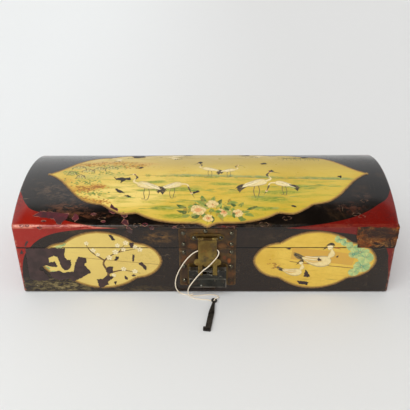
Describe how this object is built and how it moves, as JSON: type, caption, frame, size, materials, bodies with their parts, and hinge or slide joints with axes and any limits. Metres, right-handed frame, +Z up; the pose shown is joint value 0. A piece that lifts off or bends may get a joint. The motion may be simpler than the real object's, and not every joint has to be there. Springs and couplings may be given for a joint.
{
  "type": "domed-lid lacquered box",
  "caption": "Long domed-lid box of hide over boards in black and red lacquer, with a brass hasp lock, a sliding bolt and a key on a looped string.",
  "frame": {"origin": "centre of the flat underside, where the case rests", "axes": "+Z up through the lid; +X to the viewer's right along the case; the lock faces -Y"},
  "size_m": [0.6009, 0.3273, 0.1595],
  "materials": {
    "lacquered_hide": "dark semi-gloss lacquer over red, painted panels, worn",
    "worn_patch": "rough brown hide with rust-red stains",
    "case_board": "plain planed softwood, aged",
    "lining_paper": "aged lining paper",
    "aged_brass": "sheet brass with brown patina",
    "dark_iron": "blackened iron",
    "spring_steel": "dull steel",
    "twine": "twisted off-white twine"
  },
  "bodies": {
    "base": {"base_front_board": "case_board", "base_back_board": "case_board", "base_left_end": "case_board", "base_right_end": "case_board", "base_bottom_board": "case_board", "base_side_hide": "lacquered_hide", "base_bottom_hide": "lacquered_hide", "base_lining": "lining_paper", "lip_front": "case_board", "lip_back": "case_board", "lip_left": "case_board", "lip_right": "case_board", "lock_plate_lower": "aged_brass", "lower_plate_nails": "aged_brass", "cloud_plate": "aged_brass", "lock_case": "dark_iron", "bolt_guides": "dark_iron", "lock_case_rivets": "aged_brass", "bolt_spring": "spring_steel", "hinge_left_base_leaf": "dark_iron", "hinge_right_base_leaf": "dark_iron", "hinge_left_pin": "dark_iron", "hinge_right_pin": "dark_iron", "hinge_base_nails": "aged_brass"},
    "lid": {"lid_dome_board": "case_board", "lid_front_board": "case_board", "lid_back_board": "case_board", "lid_left_end": "case_board", "lid_right_end": "case_board", "lid_hide": "lacquered_hide", "lid_lining": "lining_paper", "corner_patch": "worn_patch", "lock_plate_upper": "aged_brass", "upper_plate_nails": "aged_brass", "hasp_leaf": "aged_brass", "hasp_leaf_nails": "aged_brass", "hasp_pin": "aged_brass", "hinge_left_lid_leaf": "dark_iron", "hinge_right_lid_leaf": "dark_iron", "hinge_lid_nails": "aged_brass"},
    "hasp": {"hasp_plate": "aged_brass", "hasp_loops": "aged_brass", "string_loop": "twine", "string_knot": "twine", "key": "dark_iron"},
    "bolt": {"lock_bolt": "dark_iron"}
  },
  "joints": [
    {"name": "lid_hinge", "type": "hinge", "parent": "base", "child": "lid", "pos_m": [0, 0.1171, 0.09175], "axis": [-1, 0, 0], "range_deg": [0, 105]},
    {"name": "hasp_hinge", "type": "hinge", "parent": "lid", "child": "hasp", "pos_m": [0.0045, -0.1182, 0.112], "axis": [-1, 0, 0], "range_deg": [0, 150]},
    {"name": "bolt_slide", "type": "slide", "parent": "base", "child": "bolt", "axis": [1, 0, 0], "range_m": [0, 0.006]}
  ]
}
